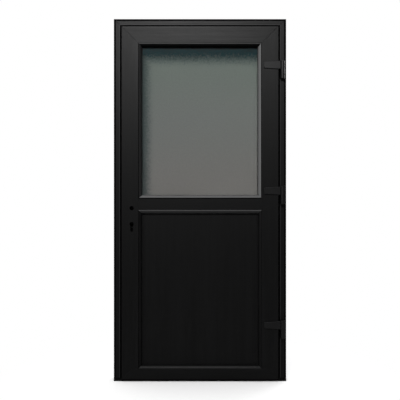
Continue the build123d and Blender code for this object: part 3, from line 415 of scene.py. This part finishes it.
metalBase = {
    "clouds": 35.0,                     # per metre
    "lineShare": 0.6,
    "relief": 0.00006,
    "metal": 1.0,
    "specular": 0.5,
}
fineAcross, fineAlong = 900.0, 12.0     # worked lines per metre
metalLooks = {
    "thresholdMetal": {
        "dark": (0.0012, 0.0012, 0.0013), "light": (0.0030, 0.0030, 0.0031),
        "roughness": (0.50, 0.68), "lines": (8.0, fineAcross, fineAcross),
        "metal": 0.0, "specular": 0.10,
    },
    "plateSteel": {
        "dark": (0.40, 0.41, 0.42), "light": (0.56, 0.57, 0.58),
        "roughness": (0.30, 0.46), "lines": (fineAcross, fineAcross, fineAlong),
    },
    "boltSteel": {
        "dark": (0.46, 0.46, 0.47), "light": (0.62, 0.62, 0.63),
        "roughness": (0.22, 0.36), "lines": (fineAlong, fineAcross, fineAcross),
    },
    "darkSteel": {
        "dark": (0.010, 0.010, 0.011), "light": (0.024, 0.024, 0.025),
        "roughness": (0.40, 0.55), "lines": (fineAcross, fineAcross, fineAcross),
    },
    "blackCase": {
        "dark": (0.0010, 0.0010, 0.0010), "light": (0.0030, 0.0030, 0.0030),
        "roughness": (0.70, 0.85), "lines": (fineAcross, fineAcross, fineAcross),
        "metal": 0.0, "specular": 0.05,
    },
    "spacerMetal": {
        "dark": (0.45, 0.46, 0.47), "light": (0.58, 0.59, 0.60),
        "roughness": (0.30, 0.42), "lines": (fineAcross, fineAcross, fineAlong),
    },
}


def metalFinish(name, look):
    # Rolled or ground metal: fine lines along the way the piece was worked.
    look = {**metalBase, **look}
    material, tree, place = startMaterial(name)
    lines = streaks(tree, axes(place), look["lines"], detail=4.0)
    cloud = noise(tree, place, look["clouds"], detail=4.0)
    tone = blend(lines, cloud, look["lineShare"])
    endMaterial(
        tree,
        {
            "Base Color": mixColour(tree, tone, look["dark"], look["light"]),
            "Metallic": look["metal"],
            "Specular IOR Level": look["specular"],
            "Roughness": between(look["roughness"], blend(lines, cloud, 0.5)),
            "Normal": bump(tree, lines, look["relief"], strength=0.4),
        },
    )
    return material


mouldedBase = {
    "grains": 700.0,                    # per metre
    "clouds": 30.0,
    "relief": 0.0001,
    "roughness": (0.4, 0.55),
    "specular": 0.35,
}
mouldedLooks = {
    "pileFibre": {
        "dark": (0.008, 0.008, 0.008), "light": (0.020, 0.020, 0.020), "roughness": (0.8, 0.95),
    },
    "blackMoulding": {"dark": (0.010, 0.010, 0.010), "light": (0.018, 0.018, 0.018)},
    "coreFoam": {
        "dark": (0.62, 0.68, 0.72), "light": (0.74, 0.78, 0.80), "roughness": (0.8, 0.95),
    },
}


def mouldedFinish(name, look):
    # Moulded plastic with a fine spark-eroded grain.
    look = {**mouldedBase, **look}
    material, tree, place = startMaterial(name)
    grain = noise(tree, place, look["grains"], detail=2.0)
    cloud = noise(tree, place, look["clouds"], detail=3.0)
    endMaterial(
        tree,
        {
            "Base Color": mixColour(tree, cloud, look["dark"], look["light"]),
            "Roughness": between(look["roughness"], cloud),
            "Specular IOR Level": look["specular"],
            "Normal": bump(tree, grain, look["relief"], strength=0.4),
        },
    )
    return material


frameBox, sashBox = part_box("outer_frame"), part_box("sash_frame")
lockLine, handleHeight, keyHeight = -0.394, 1.003, 0.911     # x and z of the lock's holes
outside = -0.01         # a band that starts here takes in the edge itself
farBelow = -9.0         # the foot of a frame that has no member there
beadFoot = 0.0042       # how far a bead's foot reaches behind the opening's edge

# The frame's outer shoulder is matt black. Painted shade: the slope in the sash's shade and
# the sash's edge at the gap are black. Painted highlight: the frame's lip, where it catches light.
frameBands = ((outside, 0.0108, 0.0, 0.0), (0.0322, 0.0358, 1.0, 0.12), (0.0362, 0.0600, 0.0, 0.0))
sashBands = ((outside, 0.0022, 0.0, 0.0),)

# Painted shade: dark rims around the handle's hole and the key hole, with its slot.
sashHoles = (
    (lockLine, handleHeight, handleHeight, 0.0124),
    (lockLine, keyHeight, keyHeight, 0.0120),
    (lockLine, 0.874, keyHeight, 0.0078),
)

# Each bead by its distance from the opening's edge, with painted shade and painted highlights:
# the joint is painted black as shade, some rolls are darkened as shade, and the lip and the
# roll towards the glass get more or less painted light.
beadBands = {
    "glass": {
        "left": ((outside, 0.0030, 0.0, 0.0), (0.0034, 0.0200, 1.0, 0.08)),
        "right": ((outside, 0.0034, 0.2, 0.0), (0.0040, 0.0200, 1.0, 1.3)),
        "top": ((outside, 0.0052, 1.0, 0.30), (0.0056, 0.0200, 0.25, 0.0)),
        "bottom": ((outside, 0.0058, 0.0, 0.0), (0.0062, 0.0200, 1.0, 1.0)),
    },
    "panel": {
        "left": ((outside, 0.0050, 0.5, 0.0),),
        "right": (),
        "top": ((0.0000, 0.0028, 1.0, 0.90), (0.0036, 0.0200, 1.0, 0.16)),
        "bottom": ((0.0000, 0.0034, 1.0, 0.15), (0.0038, 0.0064, 0.4, 0.0)),
    },
}


def openingSize(name):
    # Half width, foot and head of the opening that four beads frame.
    low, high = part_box(name + "_bead_bottom"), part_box(name + "_bead_top")
    return low[1][0] - beadFoot, low[0][2] + beadFoot, high[1][2] - beadFoot


frameField = (frameBox[1][0], farBelow, frameBox[1][2])
sashField = (sashBox[1][0], sashBox[0][2], sashBox[1][2])
finishes = {
    "frameFoil": foilFinish("frameFoil", "mitred", frameField, frameBands),
    "sashFoil": foilFinish("sashFoil", "mitred", sashField, sashBands, sashHoles),
    "panelFoil": foilFinish("panelFoil", "upright"),
    "levelFoil": foilFinish("levelFoil", "level"),
    "hingeCoat": coatFinish("hingeCoat"),
    "obscureGlass": obscureFinish("obscureGlass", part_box("pane_front")),
    "clearGlass": clearFinish("clearGlass"),
    "blackSeal": sealFinish("blackSeal"),
}
for name, look in metalLooks.items():
    finishes[name] = metalFinish(name, look)
for name, look in mouldedLooks.items():
    finishes[name] = mouldedFinish(name, look)
for opening, sides in beadBands.items():
    for side, bands in sides.items():
        grain = "upright" if side in ("left", "right") else "level"
        finishes[opening + side] = foilFinish(opening + side, grain, openingSize(opening), bands)
print("finishes made:", len(finishes))


# Black films that paint shade inside the lock's holes.
filmLook = {
    "middle": 0.60,         # share of the leaf's depth where a film lies
    "thick": 0.0004,
    "holes": {              # middle of each hole, and the half sizes of its film
        "handleHoleFilm": ((lockLine, handleHeight), (0.0106, 0.0106)),
        "keyHoleFilm": ((lockLine, keyHeight), (0.0101, 0.0101)),
        "keySlotFilm": ((lockLine, 0.8925), (0.0062, 0.0170)),
    },
    "corners": 48,
    "roundPower": 1.0,
    "slotPower": 0.3,
}


def filmShape(name, middle, half, look=filmLook):
    # A flat plate with a superellipse rim: x = a c|c|^(p-1) and z = b s|s|^(p-1) from its
    # middle, where c and s are the cosine and sine of one turn and p is 1 for a round.
    low, high = sashBox
    deep = between((low[1], high[1]), look["middle"])
    turn = np.linspace(0.0, 2 * math.pi, look["corners"], endpoint=False)
    power = look["roundPower"] if half[0] == half[1] else look["slotPower"]
    around = np.stack([np.cos(turn), np.sin(turn)], axis=1)
    around = np.sign(around) * np.abs(around) ** power * half + middle
    rim = np.insert(around, 1, deep, axis=1)
    points = np.concatenate([rim, rim + (0.0, look["thick"], 0.0)])
    first = np.arange(len(turn))
    after = np.roll(first, -1)
    sides = np.stack([first, first + len(turn), after + len(turn), after], axis=1)
    ends = [first.tolist(), (first + len(turn))[::-1].tolist()]
    mesh = bpy.data.meshes.new(name)
    mesh.from_pydata(points.tolist(), [], ends + sides.tolist())
    return mesh


def addPaintedShadeFilms(look=filmLook):
    # Black films inside the lock's holes, in the leaf: painted shade where the holes are dark.
    for name, (middle, half) in look["holes"].items():
        mesh = filmShape(name, middle, half, look)
        mesh.materials.append(finishes["blackMoulding"])
        film = bpy.data.objects.new(name, mesh)
        bpy.context.collection.objects.link(film)
        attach(film, "leaf")


addPaintedShadeFilms()
print("painted shade films added:", len(filmLook["holes"]))


wears = {
    "frameFoil": ["outer_frame"],
    "sashFoil": ["sash_frame"],
    "panelFoil": ["panel_skin_front", "panel_skin_back"],
    "levelFoil": ["transom"],
    "hingeCoat": ["hinge_base_top", "hinge_base_middle", "hinge_base_bottom", "hinge_covers",
                  "hinge_caps_upper", "hinge_caps_lower", "hinge_flag_top", "hinge_flag_middle",
                  "hinge_flag_bottom"],
    "obscureGlass": ["pane_front"],
    "clearGlass": ["pane_back"],
    "blackSeal": ["frame_seal", "sash_seal", "edge_seal", "glass_seal_front", "glass_seal_back",
                  "panel_seal_front", "panel_seal_back"],
    "pileFibre": ["brush_seal"],
    "thresholdMetal": ["threshold"],
    "blackCase": ["lock_case", "hook_boxes"],
    "plateSteel": ["faceplate", "keep_main", "hook_keeps", "drive_rod_upper", "drive_rod_lower",
                   "frame_reinforcement", "sash_reinforcement", "transom_reinforcement"],
    "boltSteel": ["latch_bolt", "dead_bolt", "hook_upper", "hook_lower", "hinge_pins", "plate_screws",
                  "keep_screws", "flag_screws", "threshold_screws", "transom_connectors"],
    "darkSteel": ["follower"],
    "spacerMetal": ["glass_spacer"],
    "blackMoulding": ["jamb_connectors", "setting_blocks", "hinge_bushes"],
    "coreFoam": ["panel_core"],
}
for opening, sides in beadBands.items():
    for side in sides:
        wears[opening + side] = [f"{opening}_bead_{side}"]


def dressPiece(piece, material):
    # Slots that the piece came with take the material on the object, so its mesh stays as it is.
    if not piece.material_slots:
        piece.data.materials.append(material)
        return
    for slot in piece.material_slots:
        slot.link = "OBJECT"
        slot.material = material


worn = set()
for finish, names in wears.items():
    worn.update(names)
    for name in names:
        dressPiece(nodes[name], finishes[finish])
print("nodes with no finish:", sorted(set(nodes) - worn))


stageLook = {
    "white": (1.0, 1.0, 1.0),
    "floorReach": 1.75,
    "floorCorners": 96,
    "floorColour": (0.95, 0.95, 0.95),
    "floorInGloss": (0.15, 0.15, 0.15),
    "fade": (0.30, 1.2),    # the floor turns into the white background between these radii
    "ambient": 0.95,
    "room": 0.05,           # how bright gloss sees the room
}


def rayKinds(tree):
    # 1 for rays that see straight on or through glass, for mirrored ones, for diffuse ones.
    rays = Wire.make(tree, "ShaderNodeLightPath").socket.node.outputs
    straight = Wire(rays["Is Camera Ray"]).most(Wire(rays["Is Transmission Ray"]))
    return straight, Wire(rays["Is Glossy Ray"]), Wire(rays["Is Diffuse Ray"])


def floorMaterial(name, look=stageLook):
    # Pale diffuse floor with the shadow near the door, plain white further out, and as
    # dim as the room where gloss mirrors it.
    material, tree, place = startMaterial(name)
    x, y, _ = axes(place)
    away = (x * x + y * y) ** 0.5
    straight, mirrored, _ = rayKinds(tree)
    colour = mixColour(tree, mirrored, look["floorColour"], look["floorInGloss"])
    near = Wire.make(tree, "ShaderNodeBsdfDiffuse", None, {"Color": colour})
    far = Wire.make(tree, "ShaderNodeEmission", None, {"Color": look["white"], "Strength": 1.0})
    share = away.ramp(*look["fade"]) * straight
    joinOutput(tree, Wire.make(tree, "ShaderNodeMixShader", None, {0: share, 1: near, 2: far}))
    return material


def addFloor(look=stageLook):
    # A flat disc: points at (r cos a, r sin a), one turn of a.
    turn = np.linspace(0.0, 2 * math.pi, look["floorCorners"], endpoint=False)
    rim = np.stack([np.cos(turn), np.sin(turn), np.zeros_like(turn)], axis=1) * look["floorReach"]
    mesh = bpy.data.meshes.new("studioFloor")
    mesh.from_pydata(rim.tolist(), [], [tuple(range(len(rim)))])
    floor = bpy.data.objects.new("studioFloor", mesh)
    bpy.context.collection.objects.link(floor)
    mesh.materials.append(floorMaterial("studioFloor"))


def setWorld(look=stageLook):
    # White where the camera and glass look, a dark room for gloss, and plain soft light
    # for everything else.
    world = bpy.data.worlds.new("studioWorld")
    bpy.context.scene.world = world
    world.use_nodes = True
    tree = world.node_tree
    tree.nodes.clear()
    straight, mirrored, diffuse = rayKinds(tree)
    strength = straight.most(mirrored * look["room"]).most(diffuse * look["ambient"])
    back = Wire.make(tree, "ShaderNodeBackground", None, {"Color": look["white"], "Strength": strength})
    joinOutput(tree, back, "ShaderNodeOutputWorld")


def aimItem(name, data, look):
    # A lamp or camera at its place, turned so that its -z axis runs to its aim.
    item = bpy.data.objects.new(name, data)
    item.location = look["place"]
    way = Vector(look["aim"]) - Vector(look["place"])
    item.rotation_euler = way.to_track_quat("-Z", "Y").to_euler()
    bpy.context.collection.objects.link(item)
    return item


lampLook = {
    "keyLamp": {"place": (-0.25, -3.3, 3.35), "aim": (0.0, 0.0, 1.9), "size": (1.3, 0.7), "watts": 82.0},
    "sideLamp": {"place": (-3.2, -2.4, 2.3), "aim": (0.0, 0.0, 1.0), "size": (1.6, 1.6), "watts": 20.0},
    "backLamp": {"place": (2.6, 3.0, 2.8), "aim": (0.0, 0.0, 1.0), "size": (1.8, 1.8), "watts": 45.0},
}


def addLamps(lamps=lampLook):
    for name, look in lamps.items():
        lamp = bpy.data.lights.new(name, "AREA")
        lamp.shape = "RECTANGLE"
        lamp.size, lamp.size_y = look["size"]
        lamp.energy = look["watts"]
        aimItem(name, lamp, look)


cameraLook = {
    "place": (0.0, -3.635, 1.05),
    "aim": (0.0, 0.0, 1.05),
    "lens": 55.9,
    "sensor": 36.0,
}


def addCamera(look=cameraLook):
    camera = bpy.data.cameras.new("photoCamera")
    camera.lens, camera.sensor_width = look["lens"], look["sensor"]
    bpy.context.scene.camera = aimItem("photoCamera", camera, look)


addFloor()
setWorld()
addLamps()
addCamera()
bpy.context.scene.view_settings.view_transform = "Standard"
print("stage, lamps and camera set")
